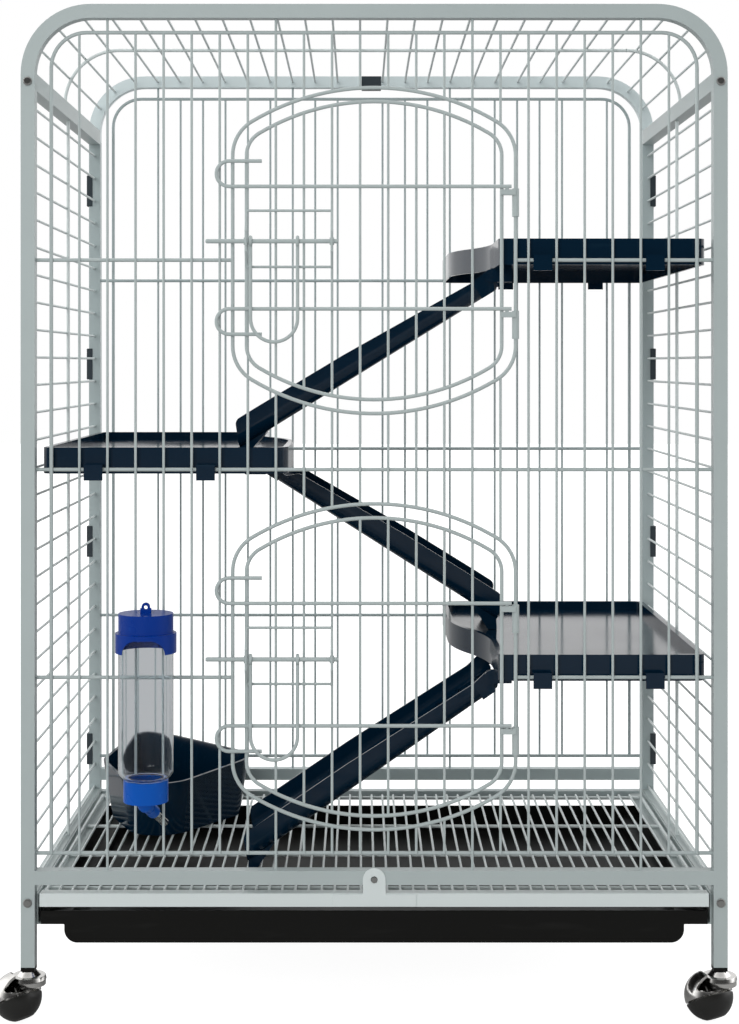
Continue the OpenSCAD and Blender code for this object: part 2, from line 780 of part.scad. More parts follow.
// Platform outline drawn in by t: X runs inwards from the outer edge, Y back from the notched edge.
// The end swings out in an S of two arcs that meet on the line between their centres.
module deck_outline(t) {
  c1 = [deck_short + s_r, deck_s0];
  c2 = [deck_long - s_r, deck_s1];
  x_short = deck_short - t;
  x_long = deck_long - t;
  y_long = deck_depth - t;
  difference() {
    union() {
      translate([t, t]) square([x_short - t, deck_s0 - t]);
      translate([t, deck_s0]) square([c2[0] - t, deck_s1 - deck_s0]);
      translate([t, deck_s1]) square([x_long - t, y_long - deck_s1]);
      intersection() {
        translate([c2[0], deck_s0]) square([x_long - c2[0], deck_s1 - deck_s0]);
        difference() {
          polygon([c2, c1, [c2[0], c1[1]]]);
          translate(c1) circle(r = s_r + t, $fn = 360);
        }
      }
      intersection() {
        polygon([c2, c1, [c1[0], c2[1]]]);
        translate(c2) circle(r = s_r - t, $fn = 360);
      }
    }
    corner_cut([t, t], 1, 1, deck_outer_r - t);
    corner_cut([t, y_long], 1, -1, deck_outer_r - t);
    corner_cut([x_short, t], -1, 1, deck_notch_r - min(t, deck_notch_r - 1));
    corner_cut([x_long, y_long], -1, -1, deck_long_r - t);
  }
}

// Clip: an arm over the cross wire and a tab in front of it
module deck_clip(x, arm, wire_top) {
  translate([x - clip_w / 2, -arm - 1.6, wire_top + 0.4]) cube([clip_w, arm + 2.6, 2.6]);
  translate([x - clip_w / 2, -arm - 1.6, wire_top - 2 * thick_r - 8])
    cube([clip_w, 1.6, 2 * thick_r + 8 + 0.4 + 2.6]);
}

// Lug with a running bore for the ramp's pin, under the platform's floor
module ramp_lug(y0) {
  x = deck_short + pivot_out;
  top = deck_h - deck_recess - deck_wall + weld;
  difference() {
    translate([0, y0 + ear_t, 0]) rotate([90, 0, 0]) linear_extrude(ear_t) {
      translate([x - ear_r - 14, 0]) square([14, top]);
      translate([x - ear_r - 14, -pivot_drop]) square([14 + ear_r, pivot_drop + 0.01]);
      translate([x, -pivot_drop]) circle(r = ear_r, $fn = fine);
      translate([x - ear_r - 14, -pivot_drop - ear_r]) square([14 + ear_r, ear_r + 0.01]);
    }
    translate([x, y0 - 1, -pivot_drop]) rotate([-90, 0, 0])
      cylinder(h = ear_t + 2, r = pin_r + run_gap, $fn = fine);
  }
}

front_arm = deck_y0 - panel_y + thick_r;
back_arm = deck_back_gap + thick_r;
// Moulded platform, its underside at Z = 0, its notched edge at Y = 0. The clips' arms reach
// arm0 past the notched edge and arm1 past the long one.
module deck(arm0, arm1) {
  floor_z = deck_h - deck_recess;
  wire_local = deck_h - deck_rise + thick_r;
  x_clips = [for (k = [1.5, 5.5]) post_x - deck_side_gap - (border_x - k * pitch)];
  difference() {
    linear_extrude(deck_h) deck_outline(0);
    translate([0, 0, floor_z]) linear_extrude(deck_h) deck_outline(deck_rim);
    translate([0, 0, -1]) linear_extrude(floor_z - deck_wall + 1) deck_outline(deck_wall);
  }
  for (x = x_clips) {
    deck_clip(x, arm0, wire_local);
    translate([0, deck_depth, 0]) mirror([0, 1, 0]) deck_clip(x, arm1, wire_local);
  }
  for (y = [ramp_in - ear_t - pass_gap, ramp_in + ramp_w + pass_gap]) ramp_lug(y);
}

module place_deck(wire_z) { translate([0, 0, wire_z + deck_rise - deck_h]) children(); }

module right_deck(wire_z) {
  place_deck(wire_z) translate([deck_outer, deck_y0, 0]) mirror([1, 0, 0]) union() deck(front_arm, back_arm);
}

module top_platform() { put() color(navy) right_deck(cross_top); }
module low_platform() { put() color(navy) right_deck(cross_low); }
module middle_platform() {
  put() color(navy) place_deck(cross_mid)
    translate([-deck_outer, deck_y0 + deck_depth, 0]) mirror([0, 1, 0]) union() deck(back_arm, front_arm);
}

// Section of a ramp's channel, drawn in by t: X runs across the ramp, Y up from its underside
module channel_outline(t) {
  translate([t, ramp_round]) square([ramp_w - 2 * t, 40]);
  translate([ramp_round, t]) square([ramp_w - 2 * ramp_round, 40]);
  for (y = [ramp_round, ramp_w - ramp_round]) translate([y, ramp_round]) circle(r = ramp_round - t, $fn = 96);
}

// Side view extruded across a ramp from y0 to y1
module across(y0, y1) { translate([0, y1, 0]) rotate([90, 0, 0]) linear_extrude(y1 - y0) children(); }

// Channel extruded along a ramp to l
module along(l, under) {
  translate([-ear_r, 0, -under]) rotate([90, 0, 90]) linear_extrude(l + ear_r) children();
}

// Channel ramp from its pivot at (px, pz) down to the left. Its heel stands at fx, a little above
// the floor at fz, on a toe that reaches down to it.
module ramp(px, pz, fx, fz, kind, y0) {
  under = ramp_unders[kind];
  heel_up = ramp_heels[kind];
  wall_top = -under + ramp_wall_top;
  // Side walls that would meet the platform as the ramp lifts start lower
  tucked = wall_top > ramp_tuck;
  run = px - fx;
  fall = pz - fz - heel_up;
  len = sqrt(run * run + fall * fall - under * under);
  slope = atan2(fall, run) - atan2(under, len);
  heel = [len, -under];
  // The foot's end leans out a little from upright
  lean = [0.15 * cos(slope) - sin(slope), 0.15 * sin(slope) + cos(slope)] / norm([0.15, 1]);
  foot_top = heel + lean * (ramp_wall_foot / lean[1]);
  round_c = foot_top - [foot_round * (1 + lean[0]) / lean[1], foot_round];
  lean_a = atan2(-lean[0], lean[1]);
  turn = (90 - lean_a) / 6;
  toe = heel + (heel_up - foot_gap) * [sin(slope), -cos(slope)];
  toe_back = toe - 9 * [cos(slope), sin(slope)];
  treads = floor((len - 30) / tread_pitch);
  translate([px, y0, pz]) rotate([0, -slope, 0]) mirror([1, 0, 0]) union() {
    intersection() {
      across(0, ramp_w)
        polygon([[-2, -under + 4], [1.5, -under], heel,
          for (k = [0 : 6]) round_c + foot_round * [cos(lean_a + k * turn), sin(lean_a + k * turn)],
          [foot_top[0] - 24, foot_top[1]], [0.55 * len, -under + ramp_wall_mid],
          for (p = tucked ? [[33, wall_top + 0.6], [23, ramp_tuck]] : [[16, wall_top]]) p,
          [-2, min(wall_top, ramp_tuck)]]);
      along(len + 30, under) difference() {
        channel_outline(0);
        channel_outline(deck_wall);
      }
    }
    intersection() {
      across(0, ramp_w)
        polygon([heel - [deck_wall, 0], heel, heel + 9 * lean, heel + 9 * lean - [deck_wall, 0]]);
      along(len + 30, under) channel_outline(0);
    }
    across(10, ramp_w - 10) polygon([heel + [-34, 1.2], toe_back, toe, heel + [-1.5, 1.2]]);
    for (y = [0, ramp_w - ear_t]) across(y, y + ear_t) {
      polygon([[0, -ear_r], [4, -under], [18, -under], [18, min(wall_top, ramp_tuck)], [0, ear_r]]);
      circle(r = ear_r, $fn = fine);
    }
    for (y = [-ear_t - 0.6, ramp_w - weld]) translate([0, y, 0]) rotate([-90, 0, 0])
      cylinder(h = ear_t + 0.6 + weld, r = pin_r, $fn = fine);
    for (k = [0 : treads - 1]) translate([14 + k * tread_pitch, 8, -under + deck_wall - weld])
      cube([3, ramp_w - 16, 2.6 + weld]);
  }
}

module top_ramp() {
  put() color(navy)
    ramp(pivot_x, pivot_z(cross_top), -deck_x_end - top_foot_in, deck_floor(cross_mid), 0, ramp_y0);
}
module middle_ramp() {
  put() color(navy) mirror([1, 0, 0])
    ramp(pivot_x, pivot_z(cross_mid), -deck_x_end - mid_foot_in, deck_floor(cross_low), 1, back_ramp_y0);
}
module low_ramp() {
  put() color(navy) ramp(pivot_x, pivot_z(cross_low), low_foot_x, grid_top, 2, ramp_y0);
}

// ---- base ----

module tray_profile(t) {
  translate([-tray_half + t, tray_shoulder_z + t]) square([2 * (tray_half - t), tray_top - tray_shoulder_z]);
  basin = tray_half - tray_shoulder - t;
  r = tray_r - t;
  z0 = tray_bottom + t;
  translate([-basin, z0 + r]) square([2 * basin, tray_top - z0 - r]);
  translate([-basin + r, z0]) square([2 * (basin - r), tray_top - z0]);
  for (s = [-1, 1]) translate([s * (basin - r), z0 + r]) circle(r = r, $fn = 96);
}

module tray() {
  l = tray_y1 - tray_y0;
  put() color(black) difference() {
    intersection() {
      translate([0, tray_y1, 0]) rotate([90, 0, 0]) linear_extrude(l) tray_profile(0);
      translate([-cage_w, tray_y0, tray_bottom]) cube([2 * cage_w, l, tray_top - tray_bottom]);
    }
    translate([0, tray_y1 - tray_wall, 0]) rotate([90, 0, 0]) linear_extrude(l - 2 * tray_wall)
      tray_profile(tray_wall);
    translate([-tray_half + tray_wall, tray_y0 + tray_wall, tray_top - tray_wall])
      cube([2 * (tray_half - tray_wall), l - 2 * tray_wall, tray_wall + 1]);
  }
}

// Pull-out wire grate: wires from front to back on cross wires, bent down behind the front bar
bar_back = bar_y0 + tube;
module floor_grid() {
  y0 = bar_back - tube_wall;
  x0 = -(grid_count - 1) * grid_pitch / 2;
  tip_y = bar_back + thin_r + 0.2;
  // The thick side wires' tops are level with the thin ones
  side_wire_z = grid_top - thick_r;
  put() color(powder) union() {
    for (k = [0 : grid_count - 1]) let (x = x0 + k * grid_pitch) {
      wire([x, y0, grid_wire_z], [x, grid_y1, grid_wire_z], thin_r);
      wire([x, tip_y, tray_top + 1.4], [x, tip_y, grid_wire_z + 0.2], thin_r);
    }
    for (s = [-1, 1])
      wire([s * grid_half, y0, side_wire_z], [s * grid_half, grid_y1, side_wire_z], thick_r);
    for (f = [0.06, 0.36, 0.66, 0.995]) let (y = bar_back + f * (grid_y1 - bar_back))
      wire([-grid_half, y, grid_cross_z], [grid_half, y, grid_cross_z], thick_r);
  }
}

module grid_bar() {
  put() color(powder) tube_x([0, bar_y0 + half_tube, bar_z + bar_h / 2], 2 * (grid_half + 3), bar_h);
}

// T-shaped plate on the bar, whose round tab drops over the lock stud
module grid_lock_tab() {
  plate_w = 76;
  t = 1.2;
  foot = bar_z + 0.6;
  put() color(powder) difference() {
    translate([0, bar_y0, 0]) rotate([90, 0, 0]) linear_extrude(t) {
      translate([-plate_w / 2, foot]) square([plate_w, bar_h - 1.2]);
      translate([-tab_w / 2, foot + 1]) square([tab_w, tab_z - foot - 1]);
      translate([0, tab_z]) circle(r = tab_w / 2, $fn = 96);
    }
    translate([0, bar_y0 + 1, tab_z]) rotate([90, 0, 0])
      cylinder(h = t + 2, r = stud_d / 2 + pass_gap, $fn = fine);
  }
}

// ---- litter pan ----

// Four rounded corners of the pan: back, left, front and right, as [x, y, radius]
pan_corners = [[-38, 77, 10], [-42, -18, 24], [-10, -70, 34], [42, -8, 26]];

module pan_body(t, z0, z1) {
  hull() for (c = pan_corners) {
    translate([c[0], c[1], z0]) cylinder(h = 0.1, r = c[2] - t, $fn = 32);
    translate([c[0] * 1.04, c[1] * 1.04, z1]) cylinder(h = 0.1, r = c[2] - t + pan_flare, $fn = 32);
  }
}

module litter_pan() {
  z = grid_top + 0.3;
  lean = atan2(pan_back_h - pan_front_h, 190);
  put() color(navy) translate([-post_x + pan_x, back_y - pan_y, z]) difference() {
    pan_body(0, 0, pan_back_h);
    translate([0, 0, pan_wall]) pan_body(pan_wall, 0, pan_back_h + 2);
    translate([0, 77, pan_back_h]) rotate([lean, 0, 0]) translate([-150, -300, 0]) cube([300, 340, 60]);
  }
}

// ---- water bottle ----

module at_bottle() { translate([bottle_x, bottle_y, 0]) children(); }
module at_sipper() { translate([bottle_x, bottle_y, cap_z0 - 3]) rotate(sip_turn) children(); }

module bottle_section(t) {
  r = bottle_r - t;
  round_r = 8 - t;
  translate([0, bottle_z0 + t]) square([r - round_r, bottle_z1 - bottle_z0 - 2 * t]);
  translate([0, bottle_z0 + t + round_r]) square([r, bottle_z1 - bottle_z0 - 2 * t - round_r]);
  translate([r - round_r, bottle_z0 + t + round_r]) intersection() {
    circle(r = round_r, $fn = 96);
    translate([0, -round_r]) square(round_r);
  }
}

module water_bottle() {
  wall = 1.2;
  put() color("lightblue", 0.4) at_bottle() rotate_extrude($fn = 96) difference() {
    union() {
      bottle_section(0);
      translate([0, cap_z0 + 3.5]) square([neck_r, cap_h]);
    }
    bottle_section(wall);
    translate([-1, cap_z0]) square([neck_r - wall + 1, cap_h + 6]);
  }
}

// Screw cap with the elbow that holds the sipper tube
module bottle_cap() {
  put() color("#1450b4") difference() {
    union() {
      at_bottle() translate([0, 0, cap_z0]) cylinder(h = cap_h - 0.5, r = cap_r, $fn = 96);
      at_sipper() cylinder(h = elbow_l, r = 6, $fn = fine);
      at_sipper() sphere(r = 7.5, $fn = fine);
    }
    at_bottle() translate([0, 0, cap_z0 + 3]) cylinder(h = cap_h, r = neck_r + 0.3, $fn = 96);
    at_bottle() translate([0, 0, cap_z0 - 3]) cylinder(h = 10, r = 2.4, $fn = fine);
    at_sipper() cylinder(h = elbow_l + 20, r = sip_tube_r + 0.1, $fn = fine);
  }
}

module sipper_tube() {
  l = sip_len + 2;
  put() color("silver") at_sipper() translate([0, 0, 2]) rotate_extrude($fn = fine) {
    translate([sip_bore_r, 0]) square([sip_tube_r - sip_bore_r, l - 2]);
    translate([sip_bore_r - 1, l - 3]) square([sip_tube_r - sip_bore_r + 1, 1]);
  }
}

module sipper_ball() {
  put() color("silver") at_sipper() translate([0, 0, sip_len - 1.1]) sphere(r = sip_bore_r - 0.35, $fn = 32);
}

// Bracket: closed head, skirt with an arched cut in front, hang loop and clamp stud
module bottle_bracket() {
  head_r = bottle_r - 0.2;
  loop_w = 9.8;
  z0 = bottle_z1 + 0.4;
  lug_y = panel_y - thin_r - 0.3 - bottle_y;
  put() color("#1450b4") at_bottle() translate([0, 0, z0]) difference() {
    union() {
      cylinder(h = bracket_head_h, r = head_r, $fn = 96);
      translate([0, 0, -bracket_skirt_h]) cylinder(h = bracket_skirt_h + 1.5, r = skirt_r, $fn = 96);
      translate([-11, 0, 1.5]) cube([22, lug_y, 14]);
      translate([-loop_w / 2, -1.5, bracket_head_h - weld]) cube([loop_w, 3, 5]);
      translate([0, 1.5, bracket_head_h + 5.6]) rotate([90, 0, 0]) cylinder(h = 3, r = 3.8, $fn = fine);
    }
    translate([0, 0, -bracket_skirt_h - 1]) cylinder(h = bracket_skirt_h + 1, r = bottle_r + 0.4, $fn = 96);
    translate([0, 0, -1]) cylinder(h = bracket_head_h - 1.2, r = head_r - 2.2, $fn = 96);
    translate([0, 0, -bracket_skirt_h]) rotate([90, 0, 0]) linear_extrude(40) {
      for (s = [-1, 1]) translate([s * 6, 0]) circle(r = 13, $fn = 96);
      translate([-6, 0]) square([12, 13]);
    }
    translate([0, 4, bracket_head_h + 5.2]) rotate([90, 0, 0]) cylinder(h = 8, r = 1.7, $fn = fine);
  }
  put() color("#1450b4") at_bottle() translate([0, lug_y - 2, z0 + stud_up])
    rotate([-90, 0, 0]) cylinder(h = 19, r = clamp_r, $fn = fine);
}

// Clamp plate and wing nut behind the wires
module bottle_clamp_nut() {
  y0 = panel_y + thin_r + 0.2 - bottle_y;
  z = bottle_z1 + 0.4 + stud_up;
  put() color("#1450b4") at_bottle() translate([0, y0, z]) difference() {
    union() {
      translate([-17, 0, -7]) cube([34, 2, 14]);
      rotate([-90, 0, 0]) cylinder(h = 7, r = 5, $fn = fine);
      translate([-12, 2 - weld, -1.5]) cube([24, 6, 3]);
    }
    translate([0, -1, 0]) rotate([-90, 0, 0]) cylinder(h = 12, r = clamp_r + run_gap, $fn = fine);
  }
}

// ---- casters ----

module at_leg(i) {
  translate([(i % 2 == 0 ? -1 : 1) * post_x, (i < 2 ? -1 : 1) * post_y, 0]) children();
}
module at_caster(i) { at_leg(i) rotate([0, 0, caster_turns[i]]) children(); }
// Frame of the ball's axle: Z points out through the wheel
module at_axle() {
  translate([-ball_trail, ball_side, ball_r]) rotate([90 + axle_tilt, 0, 0]) children();
}

// Fixed upper plates, each with a stem in the leg plug and a swivel pin
module caster_cups() {
  cup_top = leg_bottom - 4;
  put() color("silver") for (i = [0 : 3]) at_leg(i) {
    translate([0, 0, cup_z + 0.4]) cylinder(h = 3.6, r1 = cup_r, r2 = cup_r - 1, $fn = 96);
    translate([0, 0, cup_z + 3.5]) cylinder(h = cup_top - cup_z - 3.5, r1 = cup_r - 5, r2 = 7, $fn = 96);
    translate([0, 0, plate_z - 2]) cylinder(h = leg_bottom + 12 - plate_z + 2, r = swivel_r, $fn = fine);
    translate([0, 0, leg_bottom - 5]) cylinder(h = 17, r = 4, $fn = fine);
    translate([0, 0, plate_z - 4]) cylinder(h = 2.2, r = 5, $fn = fine);
  }
}

// Lower plate with the shell that covers the ball's upper half, open in front, and the axle
module caster_hood(i) {
  shell = 2.2;
  put() color("gray") at_caster(i) difference() {
    union() {
      translate([0, 0, plate_z]) cylinder(h = cup_z - plate_z, r = cup_r - 0.6, $fn = 96);
      difference() {
        at_axle() rotate_extrude($fn = 96) intersection() {
          difference() {
            circle(r = ball_r, $fn = 180);
            circle(r = ball_r - shell, $fn = 180);
          }
          translate([0, -ball_r]) square([ball_r, ball_r + wheel_from - 1.4]);
        }
        translate([0, 0, plate_z + 0.6]) cylinder(h = 30, r = cup_r + 0.8, $fn = 96);
        translate([-50, -53, plate_z]) cube([100, 50, 30]);
      }
      at_axle() translate([0, 0, -13]) cylinder(h = 13 + 12, r = axle_r, $fn = fine);
    }
    translate([0, 0, plate_z - 10]) cylinder(h = 30, r = swivel_r + run_gap, $fn = fine);
  }
}

// Half ball that turns on the axle
module caster_wheel(i) {
  put() color(black) at_caster(i) at_axle() rotate_extrude($fn = 96) intersection() {
    difference() {
      circle(r = ball_r, $fn = 180);
      square([axle_r + run_gap, 15]);
    }
    translate([0, wheel_from]) square([ball_r, ball_r - wheel_from - 1.8]);
  }
}

module caster_hood_fl() { caster_hood(0); }
module caster_hood_fr() { caster_hood(1); }
module caster_hood_bl() { caster_hood(2); }
module caster_hood_br() { caster_hood(3); }
module caster_wheel_fl() { caster_wheel(0); }
module caster_wheel_fr() { caster_wheel(1); }
module caster_wheel_bl() { caster_wheel(2); }
module caster_wheel_br() { caster_wheel(3); }

front_posts();
back_posts();
front_arch();
back_arch();
tube_joiners();
side_top_rails();
side_low_rails();
tray_runners();
grid_runners();
front_rail();
back_rails();
frame_bolts();
grid_lock_stud();
leg_plugs();
canopy_mesh();
left_side_mesh();
right_side_mesh();
back_mesh();
front_border();
front_mesh_left();
front_mesh_right();
front_mesh_middle();
upper_door_ring();
lower_door_ring();
panel_clips();
upper_door();
upper_latch_rod();
upper_latch_handle();
lower_door();
lower_latch_rod();
lower_latch_handle();
top_platform();
middle_platform();
low_platform();
top_ramp();
middle_ramp();
low_ramp();
floor_grid();
grid_bar();
grid_lock_tab();
tray();
litter_pan();
bottle_bracket();
bottle_clamp_nut();
water_bottle();
bottle_cap();
sipper_tube();
sipper_ball();
caster_cups();
caster_hood_fl();
caster_hood_fr();
caster_hood_bl();
caster_hood_br();
caster_wheel_fl();
caster_wheel_fr();
caster_wheel_bl();
caster_wheel_br();
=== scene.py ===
"""Looks for a ferret cage on ball casters: powder-coated tube and wire, moulded navy platforms
and ramps, a black tray, a litter pan, a clear water bottle and the studio it stands in."""
import json
import math

import bmesh
import bpy
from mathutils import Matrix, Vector


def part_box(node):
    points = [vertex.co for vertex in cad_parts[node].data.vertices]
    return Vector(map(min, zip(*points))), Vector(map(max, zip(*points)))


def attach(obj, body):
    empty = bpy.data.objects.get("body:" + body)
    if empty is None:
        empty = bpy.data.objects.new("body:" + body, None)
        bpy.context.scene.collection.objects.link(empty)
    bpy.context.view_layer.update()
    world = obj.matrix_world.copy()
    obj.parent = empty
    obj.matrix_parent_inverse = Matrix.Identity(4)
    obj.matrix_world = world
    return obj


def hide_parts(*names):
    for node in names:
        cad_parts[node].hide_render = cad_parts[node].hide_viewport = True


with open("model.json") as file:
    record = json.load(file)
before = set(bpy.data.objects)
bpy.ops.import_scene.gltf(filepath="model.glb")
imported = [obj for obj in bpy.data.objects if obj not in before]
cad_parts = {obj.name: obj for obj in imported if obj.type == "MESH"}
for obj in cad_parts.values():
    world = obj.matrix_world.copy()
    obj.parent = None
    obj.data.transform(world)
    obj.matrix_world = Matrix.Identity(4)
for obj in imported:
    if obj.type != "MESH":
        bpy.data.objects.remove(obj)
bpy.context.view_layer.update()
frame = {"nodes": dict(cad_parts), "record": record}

# ---- Frame tubes ----
# Half-inch square steel tube, bent to bows at the top and slotted together at eight bolted
# joints. It is powder coated pale grey green. The rear legs, rails and bow wear retinted copies of
# that coat, painted light and shade for how they are lit, and the rear bow is painted paler.

mm = 0.001
tube_round = 1.5 * mm
pressed_round = 0.3 * mm
merge_distance = 0.002 * mm
flat_angle = math.radians(0.6)


def skin_group(name, colours):
    """An empty skin: two colours and a roughness range go in, a finish for one material comes out."""
    group = bpy.data.node_groups.new(name, "ShaderNodeTree")
    inputs = [(colour, "NodeSocketColor") for colour in colours]
    inputs += [("Low", "NodeSocketFloat"), ("High", "NodeSocketFloat")]
    outputs = [("Color", "NodeSocketColor"), ("Roughness", "NodeSocketFloat"),
               ("Height", "NodeSocketFloat")]
    for sockets, side in ((inputs, "INPUT"), (outputs, "OUTPUT")):
        for socket, kind in sockets:
            group.interface.new_socket(socket, in_out=side, socket_type=kind)
    values, out = group.nodes.new("NodeGroupInput"), group.nodes.new("NodeGroupOutput")
    place = group.nodes.new("ShaderNodeTexCoord").outputs["Object"]
    return group, values, out, place


def texture(tree, kind, place, scale, detail=None):
    """A noise or cell texture of the given scale, in patches a metre."""
    node = tree.nodes.new(kind)
    node.inputs["Scale"].default_value = scale
    if detail is not None:
        node.inputs["Detail"].default_value = detail
    tree.links.new(place, node.inputs["Vector"])
    return node


def remap(tree, value, start, end, low, high):
    """Turns start..end of a value into low..high, each of which is a number or a socket."""
    node = tree.nodes.new("ShaderNodeMapRange")
    tree.links.new(value, node.inputs["Value"])
    for socket, bound in (("From Min", start), ("From Max", end), ("To Min", low), ("To Max", high)):
        if isinstance(bound, (int, float)):
            node.inputs[socket].default_value = bound
        else:
            tree.links.new(bound, node.inputs[socket])
    return node.outputs["Result"]


def mix_colours(tree, mask, first, second, out):
    node = tree.nodes.new("ShaderNodeMix")
    node.data_type = "RGBA"
    tree.links.new(mask, node.inputs["Factor"])
    tree.links.new(first, node.inputs["A"])
    tree.links.new(second, node.inputs["B"])
    tree.links.new(node.outputs["Result"], out)


def powder_skin():
    """Powder coat: a faint cloudiness in the colour, an orange-peel surface and fine pits."""
    group, values, out, place = skin_group("powder_skin", ("Coat", "Cloud"))
    link = group.links.new
    cloud = texture(group, "ShaderNodeTexNoise", place, 22, 3)
    mix_colours(group, cloud.outputs["Fac"], values.outputs["Coat"], values.outputs["Cloud"],
                out.inputs["Color"])
    peel = texture(group, "ShaderNodeTexNoise", place, 620, 2)
    pits = texture(group, "ShaderNodeTexVoronoi", place, 260)
    height = group.nodes.new("ShaderNodeMath")
    height.operation = "MULTIPLY_ADD"
    height.inputs[1].default_value = 0.35
    link(remap(group, pits.outputs["Distance"], 0, 0.12, 0, 1), height.inputs[0])
    link(peel.outputs["Fac"], height.inputs[2])
    link(height.outputs["Value"], out.inputs["Height"])
    gloss = remap(group, peel.outputs["Fac"], 0, 1, values.outputs["Low"], values.outputs["High"])
    link(gloss, out.inputs["Roughness"])
    return group


def plain_material(name):
    material = bpy.data.materials.new(name)
    material.use_nodes = True
    return material, material.node_tree, material.node_tree.nodes["Principled BSDF"]


def skin_onto(tree, shader, group, bump, depth, **values):
    """Puts a skin group in a material and leads its colour, roughness and height to the shader."""
    skin = tree.nodes.new("ShaderNodeGroup")
    skin.node_tree = group
    for socket, value in values.items():
        skin.inputs[socket].default_value = value
    relief = tree.nodes.new("ShaderNodeBump")
    relief.inputs["Strength"].default_value = bump
    relief.inputs["Distance"].default_value = depth
    tree.links.new(skin.outputs["Color"], shader.inputs["Base Color"])
    tree.links.new(skin.outputs["Roughness"], shader.inputs["Roughness"])
    tree.links.new(skin.outputs["Height"], relief.inputs["Height"])
    tree.links.new(relief.outputs["Normal"], shader.inputs["Normal"])
    return skin


powder = powder_skin()


def coat(name, colour, cloud):
    material, tree, shader = plain_material(name)
    skin_onto(tree, shader, powder, 0.25, 0.00025, Coat=(*colour, 1), Cloud=(*cloud, 1), Low=0.3, High=0.46)
    shader.inputs["Coat Weight"].default_value = 0.15
    shader.inputs["Coat Roughness"].default_value = 0.2
    return material


front_coat = coat("front_powder_coat", (0.43, 0.49, 0.488), (0.395, 0.45, 0.448))
# Painted light and shade: a retinted copy of the front coat for the rear legs, rails and panel.
rear_painted_light_coat = coat("rear_powder_coat_painted_light", (0.43, 0.505, 0.51), (0.40, 0.47, 0.475))
# Painted light: a paler copy of the same coat for the canopy and side wires and the floor grate.
wire_painted_light_coat = coat("wire_powder_coat_painted_light", (0.68, 0.74, 0.735), (0.64, 0.70, 0.695))
# Painted light: a paler copy of the same coat for the rear bow.
bow_painted_light_coat = coat("rear_bow_powder_coat_painted_light", (0.70, 0.79, 0.80), (0.66, 0.75, 0.76))


def made_from(node, material, rounding=0.0, segments=2, crease=32):
    """A copy of a CAD piece with its facets merged into faces and its sharp edges rounded."""
    bm = bmesh.new()
    bm.from_mesh(frame["nodes"][node].data)
    bmesh.ops.remove_doubles(bm, verts=bm.verts, dist=merge_distance)
    if rounding:
        bmesh.ops.dissolve_limit(bm, angle_limit=flat_angle, verts=bm.verts, edges=bm.edges)
        sharp = [e for e in bm.edges if e.is_manifold and e.calc_face_angle(0) > math.radians(crease)]
        bmesh.ops.bevel(bm, geom=sharp, offset=rounding, segments=segments, profile=0.5,
                        affect="EDGES", clamp_overlap=True, material=-1)
    for face in bm.faces:
        face.smooth = True
        face.material_index = 0
    for edge in bm.edges:
        edge.smooth = edge.calc_face_angle(0) < math.radians(crease)
    mesh = bpy.data.meshes.new(node + "_made")
    bm.to_mesh(mesh)
    bm.free()
    mesh.materials.append(material)
    piece = bpy.data.objects.new(node + "_made", mesh)
    bpy.context.scene.collection.objects.link(piece)
    if rounding:
        piece.modifiers.new("even_shading", "WEIGHTED_NORMAL").keep_sharp = True
    body = next(b for b, members in frame["record"]["behaviour"]["bodies"].items() if node in members)
    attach(piece, body)
    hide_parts(node)
    return piece


for node in ("front_posts", "front_arch", "side_top_rails", "side_low_rails", "front_rail"):
    made_from(node, front_coat, tube_round, 3)
for node in ("tray_runners", "grid_runners"):
    made_from(node, front_coat, pressed_round)
# The rear legs, rails and bow take the copies of the coat painted light and shade.
for node in ("back_posts", "back_rails"):
    made_from(node, rear_painted_light_coat, tube_round, 3)
made_from("back_arch", bow_painted_light_coat, tube_round, 3)

# ---- Fasteners ----
# Zinc-plated pan-head screws through the legs, steel spigots inside the joints, a lock stud on
# the front rail and folded clips that tie the rear and side panels to the legs; the clips are painted near
# black as shade.

zinc, tree, shader = plain_material("zinc_plate")
skin_onto(tree, shader, powder, 0.15, 0.0001, Coat=(0.42, 0.42, 0.41, 1),
          Cloud=(0.33, 0.33, 0.32, 1), Low=0.25, High=0.4)
shader.inputs["Metallic"].default_value = 1.0
# Painted shade: the clips are coloured near black for the shadow they sit in.
clip_painted_shade_coat = coat("clip_painted_shade_coat", (0.035, 0.048, 0.058), (0.025, 0.036, 0.044))
made_from("tube_joiners", zinc)
made_from("frame_bolts", zinc, pressed_round)
made_from("grid_lock_stud", zinc, 0.4 * mm)
made_from("panel_clips", clip_painted_shade_coat, 0.5 * mm)

# ---- Wire panels ----
# Drawn steel wire, resistance welded where it crosses and then powder coated. The thick border,
# cross wires and doorway rings carry the thin uprights.

# The canopy and side panels take the paler wire coat, painted light.
for node in ("canopy_mesh", "left_side_mesh", "right_side_mesh"):
    made_from(node, wire_painted_light_coat)
for node in ("front_border", "front_mesh_left", "front_mesh_right", "front_mesh_middle",
             "upper_door_ring", "lower_door_ring"):
    made_from(node, front_coat)
# The rear panel takes the retinted rear coat, painted light and shade.
made_from("back_mesh", rear_painted_light_coat)

# ---- Doors and latches ----
# Each door is a ring of thick wire with welded uprights, two C-hooks, sleeves that turn on the
# doorway ring, and a sliding rod with a swinging U handle.

for node in ("upper_door", "upper_latch_rod", "upper_latch_handle",
             "lower_door", "lower_latch_rod", "lower_latch_handle"):
    made_from(node, front_coat)

# ---- Platforms and ramps ----
# Injection moulded in navy polypropylene, glossy with a fine spark-eroded grain, so the flats
# mirror the bright studio at low angles.


